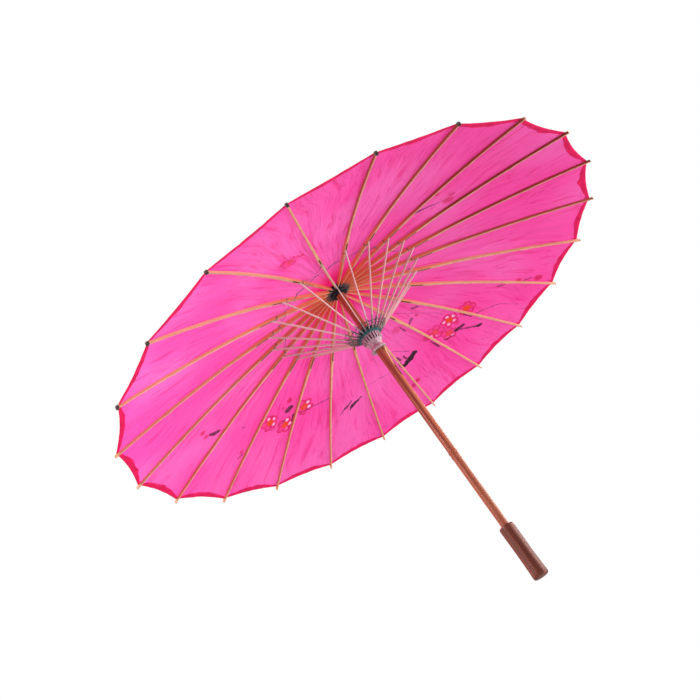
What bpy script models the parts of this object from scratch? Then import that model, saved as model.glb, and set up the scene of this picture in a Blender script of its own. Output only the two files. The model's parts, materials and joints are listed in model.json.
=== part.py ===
"""A hand-held parasol: cloth on bamboo ribs that fold down round a bamboo shaft.

Metres, +Z up along the shaft. The origin is the centre of the handle's flat bottom end.
The parasol is modelled open, with its runner held up by the catch tongue.
"""

from math import cos, pi, radians, sin

import bmesh
import bpy
from mathutils import Matrix, Vector

# Driving dimensions
RIB_COUNT = 22
RIM_RADIUS = 0.42          # shaft axis to rib tip
SPREAD_SWAY = radians(4.5)     # the ribs stand a little closer together on one side
SPREAD_PHASE = radians(64.0)

NOTCH_Z = 0.539            # height of the rib pivots
NOTCH_RING = 0.0105        # shaft axis to rib pivots
JOINT_Z = 0.5175           # height of the pins between ribs and stretchers
JOINT_RADIUS = 0.135
RUNNER_Z = 0.441           # height of the stretchers' inner pivots
RUNNER_RING = 0.0125       # shaft axis to those pivots

GAP = 0.0003               # between pieces that touch
RUNNING = 0.0002           # each side of a piece that turns in a slot

# The ribs' top edge falls away from the crown as a shallow bow
TOP_Z = 0.5430
TOP_SLOPE = 0.1328
TOP_BOW = 0.2027

RIB_END = 0.0026           # radius of the rib's rounded inner end
RIB_BLADE = 0.0013         # width of the rib inside the notch
PIN_RADIUS = 0.00045
PIN_HOLE = 0.0008
THREAD_HOLE = 0.0007

STRETCHER_THICK = 0.0015
STRETCHER_HALF_DEPTH = 0.0015

# Rib depth and width, each against the distance from the shaft's axis
RIB_DEPTH = ((0.0105, 0.0052), (0.030, 0.0065), (0.070, 0.0070), (0.125, 0.0056),
             (0.160, 0.0053), (0.200, 0.0045), (0.420, 0.0041))
RIB_WIDTH = ((0.018, RIB_BLADE), (0.030, 0.0015), (0.050, 0.0021), (0.070, 0.0029),
             (0.100, 0.0038), (0.125, 0.0046), (0.160, 0.0046), (0.200, 0.0036),
             (0.300, 0.0029), (0.420, 0.0027))
RIB_STATIONS = (0.0105, 0.018, 0.030, 0.050, 0.070, 0.100, 0.125, 0.160, 0.200,
                0.255, 0.310, 0.365, RIM_RADIUS)
SLOT_IN = 0.1285           # the stretcher's slot in the rib, from here
SLOT_OUT = 0.1580          # to here
SLOT_ABOVE_PIN = 0.0019

SHAFT_TOP_RADIUS = 0.0070
SHAFT_LOW_RADIUS = 0.0062
SHAFT_BOTTOM_Z = 0.0260
SHOULDER_Z = 0.5295
SPIGOT_RADIUS = 0.0050
SPIGOT_TOP_Z = 0.5520
SHAFT_NODE_Z = 0.214

HANDLE_TOP_Z = 0.085
HANDLE_RADIUS = 0.0118
HANDLE_WAIST = 0.0111

NOTCH_RADIUS = 0.0135
NOTCH_BOTTOM_Z = 0.5310
NOTCH_TOP_Z = 0.5450
NOTCH_SLOT_FLOOR = 0.0075
NOTCH_SLOT_TOP_Z = NOTCH_Z + RIB_END + 0.0004
NOTCH_GROOVE_FLOOR = 0.0098
NOTCH_GROOVE_HALF = 0.0007
NOTCH_THREAD = 0.00035     # radius of the thread the ribs turn on

RUNNER_BORE = 0.00735
RUNNER_HEAD = 0.0165
RUNNER_NECK = 0.0098
RUNNER_FLANGE = 0.0130
RUNNER_TOP_Z = 0.4470
RUNNER_BOTTOM_Z = 0.4150
RUNNER_SLOT_FLOOR = 0.0096
RUNNER_SLOT_LOW_Z = 0.4255
RUNNER_THREAD = 0.0006     # radius of the thread that ties the stretchers' ends

CATCH_AZIMUTH = radians(33.0)
CATCH_PIVOT_Z = 0.3680
CATCH_PIVOT_RADIUS = 0.0030
CATCH_TOP_Z = RUNNER_BOTTOM_Z - 0.0004
CATCH_THICK = 0.0026
CATCH_SLOT_WIDTH = 0.0034
CATCH_SLOT_FLOOR = 0.0008
CATCH_SLOT_LOW_Z = 0.3600
CATCH_SLOT_HIGH_Z = 0.4230

CAP_RADIUS = 0.0210
CAP_RECESS = 0.0142        # the hollow under the cap that the notch's top stands in

# Turned outlines, each as distance from the axis and height
SHAFT_NODE = ((-0.0004, 0.0045), (0.0002, 0.0012), (-0.0002, 0.0), (0.0, -0.0015), (-0.0005, -0.0050))
RUNNER_NECKING = ((RUNNER_HEAD, 0.4350), (0.0140, 0.4312), (0.0112, 0.4275), (RUNNER_NECK, 0.4240),
                  (RUNNER_NECK + 0.0004, 0.4205), (RUNNER_FLANGE - 0.0008, 0.4185),
                  (RUNNER_FLANGE, 0.4172), (RUNNER_FLANGE, 0.4160))
CAP_CROWN = ((0.0, 0.5680), (0.0022, 0.5674), (0.0040, 0.5650), (0.0040, 0.5625), (0.0072, 0.5590),
             (0.0130, 0.5540), (0.0180, 0.5488))

# The catch's side outline from its bend: outward from the shaft's axis and up
CATCH_FOOT_HALF = 0.0014
CATCH_FOOT_LOW = -0.0016
CATCH_SPREAD_Z = 0.0100    # above here it leans out of the slot
CATCH_HEAD_DROP = 0.0080   # the head is this much of the top end
CATCH_LEAN_OUT = 0.0056
CATCH_NOSE = 0.0082

CLOTH_GAP = 0.0005         # rib top to cloth
CLOTH_THICK = 0.0006
CLOTH_HOLE = 0.0155
CLOTH_RIM = 0.4155
CLOTH_SCALLOP = 0.009      # how far the hem draws in between two ribs, as a share of its radius
CLOTH_ROWS = 8
RING_SEGMENTS = 33         # round the notch, the runner and their threads


# Rules that several pieces share
def rib_azimuth(index):
    """Direction of rib number index, in radians from +X."""
    even = 2 * pi * index / RIB_COUNT
    return even + SPREAD_SWAY * sin(even + SPREAD_PHASE)


def rib_top(radius):
    """Height of the ribs' top edge at a distance from the shaft's axis."""
    return TOP_Z - TOP_SLOPE * radius - TOP_BOW * radius * radius


def along(table, x):
    """Value at x on the straight lines between a table's points."""
    if x <= table[0][0]:
        return table[0][1]
    for (x0, y0), (x1, y1) in zip(table, table[1:]):
        if x <= x1:
            return y0 + (y1 - y0) * (x - x0) / (x1 - x0)
    return table[-1][1]


# Scene, collections and materials
for old in list(bpy.data.objects):
    bpy.data.objects.remove(old, do_unlink=True)


def new_collection(name):
    """A collection of that name in the scene."""
    group = bpy.data.collections.new(name)
    bpy.context.scene.collection.children.link(group)
    return group


PARTS = new_collection("parasol")
CUTTERS = new_collection("cutters")


def material(name, color, roughness):
    """A plain Principled material."""
    made = bpy.data.materials.new(name)
    made.use_nodes = True
    shader = made.node_tree.nodes["Principled BSDF"]
    shader.inputs["Base Color"].default_value = (*color, 1.0)
    shader.inputs["Roughness"].default_value = roughness
    shader.inputs["Metallic"].default_value = 0.0
    return made


RIB_BAMBOO = material("rib_bamboo", (0.70, 0.40, 0.17), 0.55)
STRETCHER_BAMBOO = material("stretcher_bamboo", (0.78, 0.58, 0.46), 0.55)
SHAFT_BAMBOO = material("shaft_bamboo", (0.52, 0.22, 0.10), 0.42)
HANDLE_WOOD = material("handle_wood", (0.30, 0.09, 0.05), 0.40)
TURNED_WOOD = material("turned_wood", (0.74, 0.50, 0.44), 0.50)
CAP_WOOD = material("cap_wood", (0.20, 0.06, 0.04), 0.35)
CATCH_BAMBOO = material("catch_bamboo", (0.78, 0.52, 0.28), 0.50)
TEAL_THREAD = material("teal_thread", (0.01, 0.20, 0.21), 0.80)
BLACK_THREAD = material("black_thread", (0.02, 0.02, 0.03), 0.80)
PINK_CLOTH = material("pink_cloth", (0.95, 0.05, 0.38), 0.85)


# Modelling helpers
def add_object(name, mesh, group=PARTS, surface=None):
    """An object of a mesh in a collection, with its material."""
    made = bpy.data.objects.new(name, mesh)
    group.objects.link(made)
    if surface is not None and not mesh.materials:
        mesh.materials.append(surface)
    return made


def add_cutter(name, mesh):
    """A hidden shape that a Boolean takes away."""
    made = add_object(name, mesh, CUTTERS)
    made.hide_render = True
    made.display_type = "WIRE"
    return made


def mesh_from(name, shape):
    """A mesh of a bmesh, which is freed."""
    mesh = bpy.data.meshes.new(name)
    shape.to_mesh(mesh)
    shape.free()
    return mesh


def add_box(shape, low, high, turn=0.0):
    """A box between two corners, turned about +Z."""
    low, high = Vector(low), Vector(high)
    size = Matrix.Diagonal((*(high - low), 1.0))
    place = Matrix.Rotation(turn, 4, "Z") @ Matrix.Translation((low + high) / 2)
    bmesh.ops.create_cube(shape, size=1.0, matrix=place @ size)


def add_cross_rod(shape, x, z, radius, length, segments=10):
    """A cylinder along Y through (x, 0, z)."""
    place = Matrix.Translation((x, 0.0, z)) @ Matrix.Rotation(pi / 2, 4, "X")
    bmesh.ops.create_cone(shape, cap_ends=True, segments=segments, radius1=radius,
                          radius2=radius, depth=length, matrix=place)


def cut(target, cutter):
    """Takes the cutter away from the target."""
    difference = target.modifiers.new("cut", "BOOLEAN")
    difference.operation = "DIFFERENCE"
    difference.solver = "EXACT"
    difference.object = cutter


def evaluated_mesh(source, name):
    """The mesh an object has after its modifiers. The object is removed."""
    bpy.context.view_layer.update()
    graph = bpy.context.evaluated_depsgraph_get()
    mesh = bpy.data.meshes.new_from_object(source.evaluated_get(graph))
    mesh.name = name
    bpy.data.objects.remove(source, do_unlink=True)
    return mesh


def turned(name, profile, surface, segments=24, ring=False):
    """A turned piece: (radius, height) points down its outer side, closed into a ring or on the axis."""
    shape = bmesh.new()
    points = [shape.verts.new((radius, 0.0, z)) for radius, z in profile]
    for a, b in zip(points, points[1:]):
        shape.edges.new((a, b))
    if ring:
        shape.edges.new((points[-1], points[0]))
    made = add_object(name, mesh_from(name, shape), surface=surface)
    screw = made.modifiers.new("turn", "SCREW")
    screw.angle = 2 * pi
    screw.steps = segments
    screw.render_steps = segments
    screw.use_merge_vertices = True
    screw.merge_threshold = 0.00001
    return made


def radial_slots(name, width, inner, outer, low, high):
    """One slot cutter for every rib direction."""
    shape = bmesh.new()
    for index in range(RIB_COUNT):
        add_box(shape, (inner, -width / 2, low), (outer, width / 2, high), rib_azimuth(index))
    return add_cutter(name, mesh_from(name, shape))


def thread_ring(name, ring_radius, thread_radius, z, surface):
    """A ring of thread round the shaft's axis."""
    bpy.ops.mesh.primitive_torus_add(
        major_segments=RING_SEGMENTS, minor_segments=6, major_radius=ring_radius,
        minor_radius=thread_radius, location=(0.0, 0.0, z))
    made = bpy.context.active_object
    made.name = name
    made.data.materials.append(surface)
    for group in made.users_collection:
        group.objects.unlink(made)
    PARTS.objects.link(made)
    return made


# Shaft, handle and crown
def make_shaft():
    """A bamboo stick with one raised joint of growth, a spigot on top and a slot for the catch."""
    profile = [
        (0.0, SPIGOT_TOP_Z),
        (SPIGOT_RADIUS - 0.0006, SPIGOT_TOP_Z),
        (SPIGOT_RADIUS, SPIGOT_TOP_Z - 0.0006),
        (SPIGOT_RADIUS, SHOULDER_Z),
        (SHAFT_TOP_RADIUS, SHOULDER_Z),
        *((SHAFT_TOP_RADIUS + out, SHAFT_NODE_Z + up) for out, up in SHAFT_NODE),
        (SHAFT_LOW_RADIUS, HANDLE_TOP_Z),
        (SHAFT_LOW_RADIUS, SHAFT_BOTTOM_Z),
        (0.0, SHAFT_BOTTOM_Z),
    ]
    shaft = turned("shaft", profile, SHAFT_BAMBOO)
    shape = bmesh.new()
    add_box(shape, (CATCH_SLOT_FLOOR, -CATCH_SLOT_WIDTH / 2, CATCH_SLOT_LOW_Z),
            (0.010, CATCH_SLOT_WIDTH / 2, CATCH_SLOT_HIGH_Z), CATCH_AZIMUTH)
    cut(shaft, add_cutter("catch_slot_cutter", mesh_from("catch_slot_cutter", shape)))


def make_handle():
    """A turned grip with a slight waist and a blind bore for the shaft."""
    bore = SHAFT_LOW_RADIUS + GAP
    profile = [
        (0.0, SHAFT_BOTTOM_Z - GAP),
        (bore, SHAFT_BOTTOM_Z - GAP),
        (bore, HANDLE_TOP_Z),
        (HANDLE_RADIUS - 0.0016, HANDLE_TOP_Z),
        (HANDLE_RADIUS - 0.0004, HANDLE_TOP_Z - 0.0008),
        (HANDLE_RADIUS - 0.0001, HANDLE_TOP_Z - 0.0030),
        (HANDLE_WAIST, 0.60 * HANDLE_TOP_Z),
        (HANDLE_WAIST, 0.42 * HANDLE_TOP_Z),
        (HANDLE_RADIUS, 0.0080),
        (HANDLE_RADIUS, 0.0028),
        (HANDLE_RADIUS - 0.0006, 0.0010),
        (HANDLE_RADIUS - 0.0020, 0.0),
        (0.0, 0.0),
    ]
    turned("handle", profile, HANDLE_WOOD)


def make_top_notch():
    """The slotted ring at the crown that the ribs turn in, with a groove for their thread."""
    bore = SPIGOT_RADIUS + GAP
    profile = [
        (bore, NOTCH_TOP_Z),
        (NOTCH_RADIUS - 0.0012, NOTCH_TOP_Z),
        (NOTCH_RADIUS, NOTCH_TOP_Z - 0.0012),
        (NOTCH_RADIUS, NOTCH_Z + NOTCH_GROOVE_HALF),
        (NOTCH_GROOVE_FLOOR, NOTCH_Z + NOTCH_GROOVE_HALF),
        (NOTCH_GROOVE_FLOOR, NOTCH_Z - NOTCH_GROOVE_HALF),
        (NOTCH_RADIUS, NOTCH_Z - NOTCH_GROOVE_HALF),
        (NOTCH_RADIUS, NOTCH_BOTTOM_Z + 0.0010),
        (NOTCH_RADIUS - 0.0010, NOTCH_BOTTOM_Z),
        (bore, NOTCH_BOTTOM_Z),
    ]
    notch = turned("top_notch", profile, TURNED_WOOD, segments=RING_SEGMENTS, ring=True)
    cut(notch, radial_slots("notch_slots", RIB_BLADE + 2 * RUNNING, NOTCH_SLOT_FLOOR, 0.020,
                            NOTCH_BOTTOM_Z - 0.005, NOTCH_SLOT_TOP_Z))
    thread_ring("notch_thread", NOTCH_RING, NOTCH_THREAD, NOTCH_Z, BLACK_THREAD)


def make_crown_cap():
    """The turned finial that closes the crown over the cloth's hole."""
    bore = SPIGOT_RADIUS + GAP
    under = NOTCH_TOP_Z + GAP
    brim = rib_top(CAP_RADIUS) + CLOTH_GAP + CLOTH_THICK + 2 * GAP
    profile = [
        *CAP_CROWN,
        (CAP_RADIUS - 0.0004, brim + 0.0035),
        (CAP_RADIUS, brim + 0.0020),
        (CAP_RADIUS, brim),
        (CAP_RECESS, rib_top(CAP_RECESS) + CLOTH_GAP + CLOTH_THICK + 2 * GAP),
        (CAP_RECESS, under),
        (bore, under),
        (bore, SPIGOT_TOP_Z + GAP),
        (0.0, SPIGOT_TOP_Z + GAP),
    ]
    turned("crown_cap", profile, CAP_WOOD)


# Runner and catch
def make_runner():
    """The sliding ring: a slotted head for the stretchers' ends, a neck and a flange."""
    profile = [
        (RUNNER_BORE, RUNNER_TOP_Z),
        (RUNNER_HEAD - 0.0015, RUNNER_TOP_Z),
        (RUNNER_HEAD, RUNNER_TOP_Z - 0.0015),
        *RUNNER_NECKING,
        (RUNNER_FLANGE - 0.0010, RUNNER_BOTTOM_Z),
        (RUNNER_BORE, RUNNER_BOTTOM_Z),
    ]
    runner = turned("runner", profile, TURNED_WOOD, segments=RING_SEGMENTS, ring=True)
    cut(runner, radial_slots("runner_slots", STRETCHER_THICK + 2 * RUNNING, RUNNER_SLOT_FLOOR,
                             0.025, RUNNER_SLOT_LOW_Z, RUNNER_TOP_Z + 0.005))
    thread_ring("runner_thread", RUNNER_SLOT_FLOOR - RUNNER_THREAD, RUNNER_THREAD,
                RUNNER_TOP_Z + RUNNER_THREAD + GAP, TEAL_THREAD)


def flat_curve(name, outlines, thickness, surface):
    """Flat outlines filled and given a thickness. The first is the edge and the others are holes."""
    curve = bpy.data.curves.new(name, "CURVE")
    curve.dimensions = "2D"
    curve.fill_mode = "BOTH"
    curve.extrude = thickness / 2
    for outline in outlines:
        spline = curve.splines.new("POLY")
        spline.points.add(len(outline) - 1)
        for point, (x, y) in zip(spline.points, outline):
            point.co = (x, y, 0.0, 1.0)
        spline.use_cyclic_u = True
    curve.materials.append(surface)
    made = bpy.data.objects.new(name, curve)
    PARTS.objects.link(made)
    return made


def make_catch():
    """A bamboo tongue in the shaft's slot. It bends low down and its top end stands out under the runner."""
    height = CATCH_TOP_Z - CATCH_PIVOT_Z
    outline = [
        (-CATCH_FOOT_HALF, CATCH_FOOT_LOW), (CATCH_FOOT_HALF, CATCH_FOOT_LOW),
        (CATCH_FOOT_HALF + 0.0006, CATCH_SPREAD_Z), (CATCH_LEAN_OUT, height - CATCH_HEAD_DROP),
        (CATCH_NOSE, height - 0.0010), (CATCH_NOSE, height), (CATCH_LEAN_OUT - 0.0006, height),
        (CATCH_LEAN_OUT / 2, height - CATCH_HEAD_DROP), (-0.0010, CATCH_SPREAD_Z),
    ]
    catch = flat_curve("catch_tongue", [outline], CATCH_THICK, CATCH_BAMBOO)
    catch.location = (CATCH_PIVOT_RADIUS * cos(CATCH_AZIMUTH),
                      CATCH_PIVOT_RADIUS * sin(CATCH_AZIMUTH), CATCH_PIVOT_Z)
    catch.rotation_euler = (pi / 2, 0.0, CATCH_AZIMUTH)


# Ribs and stretchers
def rib_section(radius, height=None):
    """The rib's rectangular section at a radius, about its pivot."""
    depth = along(RIB_DEPTH, radius)
    top = rib_top(radius) - NOTCH_Z
    half = along(RIB_WIDTH, radius) / 2
    if height is not None:
        top, depth = height / 2, height
    x = radius - NOTCH_RING
    return [Vector((x, -half, top)), Vector((x, half, top)),
            Vector((x, half, top - depth)), Vector((x, -half, top - depth))]


def rib_mesh():
    """One rib with its pivot at the origin, pointing along +X."""
    sections = []
    for share in (0.97, 0.72):
        height = 2 * RIB_END * (1 - share * share) ** 0.5
        sections.append(rib_section(NOTCH_RING - share * RIB_END, height))
    sections.append(rib_section(NOTCH_RING, 2 * RIB_END))
    sections += [rib_section(radius) for radius in RIB_STATIONS[1:]]

    shape = bmesh.new()
    rings = [[shape.verts.new(corner) for corner in section] for section in sections]
    for a, b in zip(rings, rings[1:]):
        for k in range(4):
            n = (k + 1) % 4
            shape.faces.new((a[k], a[n], b[n], b[k]))
    shape.faces.new(rings[0][::-1])
    shape.faces.new(rings[-1])
    bmesh.ops.recalc_face_normals(shape, faces=shape.faces)
    rib = add_object("rib_blank", mesh_from("rib_blank", shape), surface=RIB_BAMBOO)

    shape = bmesh.new()
    add_cross_rod(shape, 0.0, 0.0, THREAD_HOLE, 0.01)
    cut(rib, add_cutter("rib_thread_hole", mesh_from("rib_thread_hole", shape)))

    pin_x, pin_z = JOINT_RADIUS - NOTCH_RING, JOINT_Z - NOTCH_Z
    half = STRETCHER_THICK / 2 + RUNNING
    shape = bmesh.new()
    add_box(shape, (SLOT_IN - NOTCH_RING, -half, pin_z - 0.012),
            (SLOT_OUT - NOTCH_RING, half, pin_z + SLOT_ABOVE_PIN))
    slot = add_cutter("rib_slot", mesh_from("rib_slot", shape))
    shape = bmesh.new()
    add_cross_rod(shape, pin_x, pin_z, PIN_RADIUS, 0.01, segments=8)
    cut(slot, add_cutter("rib_pin_keep", mesh_from("rib_pin_keep", shape)))
    cut(rib, slot)
    return evaluated_mesh(rib, "rib")


def stretcher_outlines():
    """The slat from its pin at the origin to its inner end, with a hole at each end."""
    inner = Vector((RUNNER_RING - JOINT_RADIUS, RUNNER_Z - JOINT_Z))
    lean = inner.angle_signed(Vector((1.0, 0.0)))
    steps = 6
    edge = []
    for centre, start in ((inner, lean - pi / 2), (Vector((0.0, 0.0)), lean + pi / 2)):
        for k in range(steps + 1):
            a = start + pi * k / steps
            edge.append(centre + STRETCHER_HALF_DEPTH * Vector((cos(a), sin(a))))
    holes = []
    for centre, radius in ((Vector((0.0, 0.0)), PIN_HOLE), (inner, THREAD_HOLE)):
        turns = [2 * pi * k / 8 for k in range(8)]
        holes.append([centre + radius * Vector((cos(a), sin(a))) for a in turns])
    return [edge, *holes]


def make_linkage():
    """Every rib on its pivot in the notch, carrying its stretcher on the joint pin."""
    shared_rib = rib_mesh()
    outlines = stretcher_outlines()
    shared_stretcher = None
    for index in range(RIB_COUNT):
        azimuth = rib_azimuth(index)
        rib = add_object(f"rib_{index + 1:02d}", shared_rib)
        rib.location = (NOTCH_RING * cos(azimuth), NOTCH_RING * sin(azimuth), NOTCH_Z)
        rib.rotation_euler = (0.0, 0.0, azimuth)

        name = f"stretcher_{index + 1:02d}"
        if shared_stretcher is None:
            stretcher = flat_curve(name, outlines, STRETCHER_THICK, STRETCHER_BAMBOO)
            shared_stretcher = stretcher.data
        else:
            stretcher = add_object(name, shared_stretcher)
        stretcher.parent = rib
        stretcher.location = (JOINT_RADIUS - NOTCH_RING, 0.0, JOINT_Z - NOTCH_Z)
        stretcher.rotation_euler = (pi / 2, 0.0, 0.0)


# Cloth
def cloth_point(azimuth, radius):
    """A point on the cloth's underside over a rib."""
    return Vector((radius * cos(azimuth), radius * sin(azimuth), rib_top(radius) + CLOTH_GAP))


def make_canopy():
    """One skin over all the ribs, straight across each gore and drawn in between the tips."""
    shape = bmesh.new()
    rows = []
    for row in range(CLOTH_ROWS + 1):
        radius = CLOTH_HOLE + (CLOTH_RIM - CLOTH_HOLE) * row / CLOTH_ROWS
        pulled = radius * (1 - CLOTH_SCALLOP * (radius / CLOTH_RIM) ** 3)
        points = []
        for index in range(RIB_COUNT):
            here, after = rib_azimuth(index), rib_azimuth(index + 1)
            points.append(cloth_point(here, radius))
            points.append((cloth_point(here, pulled) + cloth_point(after, pulled)) / 2)
        rows.append([shape.verts.new(point) for point in points])
    for inner, outer in zip(rows, rows[1:]):
        for k in range(2 * RIB_COUNT):
            n = (k + 1) % (2 * RIB_COUNT)
            shape.faces.new((inner[k], outer[k], outer[n], inner[n]))
    canopy = add_object("canopy", mesh_from("canopy", shape), surface=PINK_CLOTH)
    skin = canopy.modifiers.new("skin", "SOLIDIFY")
    skin.thickness = CLOTH_THICK
    skin.offset = 1.0


make_shaft()
make_handle()
make_top_notch()
make_crown_cap()
make_runner()
make_catch()
make_linkage()
make_canopy()

for part in PARTS.objects:
    if part.type == "MESH":
        part.data.shade_smooth()
        part.data.set_sharp_from_angle(angle=radians(35))
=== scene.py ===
"""An open hand parasol: pink cloth over bamboo ribs, seen from below."""

import json
from math import atan2, cos, degrees, pi, radians, sin

import bmesh
import bpy
import numpy as np
from mathutils import Matrix, Vector, noise


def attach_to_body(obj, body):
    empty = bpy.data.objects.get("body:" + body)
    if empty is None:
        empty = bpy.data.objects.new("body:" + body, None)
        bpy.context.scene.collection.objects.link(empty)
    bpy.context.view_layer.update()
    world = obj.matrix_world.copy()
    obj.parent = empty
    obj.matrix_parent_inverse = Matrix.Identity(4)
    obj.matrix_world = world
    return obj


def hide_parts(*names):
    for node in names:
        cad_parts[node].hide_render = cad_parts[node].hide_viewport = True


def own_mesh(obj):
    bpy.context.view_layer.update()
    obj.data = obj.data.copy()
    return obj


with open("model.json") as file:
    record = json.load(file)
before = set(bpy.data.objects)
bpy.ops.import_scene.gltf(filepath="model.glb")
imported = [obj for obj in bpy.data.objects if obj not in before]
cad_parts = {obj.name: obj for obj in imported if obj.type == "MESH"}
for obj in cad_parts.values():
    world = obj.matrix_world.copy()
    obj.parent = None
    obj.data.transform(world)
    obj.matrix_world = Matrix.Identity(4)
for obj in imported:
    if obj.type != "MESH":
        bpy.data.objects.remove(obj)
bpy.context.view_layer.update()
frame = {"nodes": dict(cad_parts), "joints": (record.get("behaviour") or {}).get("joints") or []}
rng = np.random.default_rng(7)

# -------- frame data
JOINTS = {joint["name"]: joint for joint in frame["joints"]}
COUNT = sum(1 for name in JOINTS if name.endswith("_pivot"))
RIBS = []
for number in range(1, COUNT + 1):
    pivot = JOINTS[f"rib_{number:02d}_pivot"]
    pin = JOINTS[f"stretcher_{number:02d}_pin"]
    RIBS.append({"number": f"{number:02d}", "pivot": Vector(pivot["pos_m"]), "pin": Vector(pin["pos_m"]),
                 "tangent": Vector(pivot["axis"]),
                 "azimuth": atan2(-pivot["axis"][0], pivot["axis"][1]) % (2 * pi)})
PIVOT_R = RIBS[0]["pivot"].to_2d().length
PIVOT_Z = RIBS[0]["pivot"].z
PIN_R = RIBS[0]["pin"].to_2d().length
PIN_Z = RIBS[0]["pin"].z
RUNNER_R, RUNNER_PIN_Z = 0.0125, 0.441        # where the stretchers' inner ends turn
CLOTH_IN, CLOTH_OUT = 0.0160, 0.4160          # radius of the cloth's hole and of its rim
RIB_TIP = 0.4198                              # radius of the ribs' outer ends
OVER_RIB = 0.002                              # how near a rib's direction, in radians, counts as over it
UP = Vector((0.0, 0.0, 1.0))


def cloth_rule():
    """The cloth's underside over a rib, as a curve in the radius."""
    azimuth = RIBS[0]["azimuth"]
    lowest = {}
    for vertex in frame["nodes"]["canopy"].data.vertices:
        x, y, z = vertex.co
        if abs((atan2(y, x) - azimuth + pi) % (2 * pi) - pi) < OVER_RIB:
            radius = round(float(np.hypot(x, y)), 3)
            lowest[radius] = min(z, lowest.get(radius, z))
    radii = sorted(lowest)
    return np.polyfit(radii, [lowest[radius] for radius in radii], 2)


CLOTH_CURVE = cloth_rule()
SCALLOPS = [0.009 + 0.003 * rng.uniform(-1, 1) for rib in RIBS]   # how far each edge draws in


def cloth_z(radius):
    """Height of the cloth's underside over a rib."""
    return float(np.polyval(CLOTH_CURVE, radius))


def rib_top(radius):
    """Height of a rib's top edge, just under the cloth."""
    return cloth_z(radius) - 0.0006


# -------- node helpers
def linear(code):
    """A linear colour from six hexadecimal digits."""
    parts = [int(code[k:k + 2], 16) / 255 for k in (0, 2, 4)]
    return tuple(c / 12.92 if c <= 0.04045 else ((c + 0.055) / 1.055) ** 2.4 for c in parts) + (1.0,)


class Tree:
    """A short way to write shader nodes."""

    def __init__(self, tree):
        self.tree = tree

    def add(self, kind, inputs=(), **settings):
        node = self.tree.nodes.new(kind)
        for key, value in settings.items():
            setattr(node, key, value)
        return self.fill(node, inputs)

    def fill(self, node, inputs):
        for key, value in dict(inputs).items():
            if isinstance(value, bpy.types.NodeSocket):
                self.tree.links.new(value, node.inputs[key])
            elif value is not None:
                node.inputs[key].default_value = value
        return node

    def math(self, operation, *values, clamp=False):
        return self.add("ShaderNodeMath", enumerate(values), operation=operation, use_clamp=clamp).outputs[0]

    def times(self, first, second):
        return self.math("MULTIPLY", first, second)

    def vector(self, operation, *values, out=0):
        return self.add("ShaderNodeVectorMath", enumerate(values), operation=operation).outputs[out]

    def noise(self, place, scale, detail=2.0, rough=0.5, bend=0.0):
        return self.add("ShaderNodeTexNoise", {"Vector": place, "Scale": scale, "Detail": detail,
                                               "Roughness": rough, "Distortion": bend}).outputs["Fac"]

    def warp(self, moved, place, scale, detail, reach):
        noisy = self.add("ShaderNodeTexNoise", {"Vector": place, "Scale": scale, "Detail": detail})
        shift = self.vector("SUBTRACT", noisy.outputs["Color"], (0.5, 0.5, 0.5))
        return self.vector("ADD", moved, self.vector("MULTIPLY", shift, (reach, reach, 0.0)))

    def range(self, value, low, high, to_low=0.0, to_high=1.0):
        return self.add("ShaderNodeMapRange", {"Value": value, "From Min": low, "From Max": high,
                                               "To Min": to_low, "To Max": to_high},
                        interpolation_type="SMOOTHSTEP").outputs[0]

    def mix(self, share, first, second):
        return self.add("ShaderNodeMix", {0: share, 6: first, 7: second}, data_type="RGBA").outputs[2]

    def split(self, vector):
        return self.add("ShaderNodeSeparateXYZ", {0: vector}).outputs

    def join(self, x, y, z):
        return self.add("ShaderNodeCombineXYZ", {0: x, 1: y, 2: z}).outputs[0]

    def bump(self, height, distance, strength, normal=None):
        return self.add("ShaderNodeBump", {"Height": height, "Distance": distance,
                                           "Strength": strength, "Normal": normal}).outputs[0]

    def let_through(self, shader, share, inputs):
        through = self.add("ShaderNodeBsdfTranslucent", inputs)
        both = self.add("ShaderNodeMixShader", {0: share, 1: shader.outputs[0], 2: through.outputs[0]})
        self.fill(self.tree.nodes["Material Output"], {"Surface": both.outputs[0]})


def new_material(name):
    """A material, its node writer and its Principled shader."""
    made = bpy.data.materials.new(name)
    made.use_nodes = True
    tree = Tree(made.node_tree)
    return made, tree, made.node_tree.nodes["Principled BSDF"]


# The flanks' colours are painted light and shade: pink bounce light nearer the hinge, painted shade on some
# ribs and light on others further out.
FLANK_RUN = (0.12, 0.22)     # distances from a rib's hinge between which its flanks change colour


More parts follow.
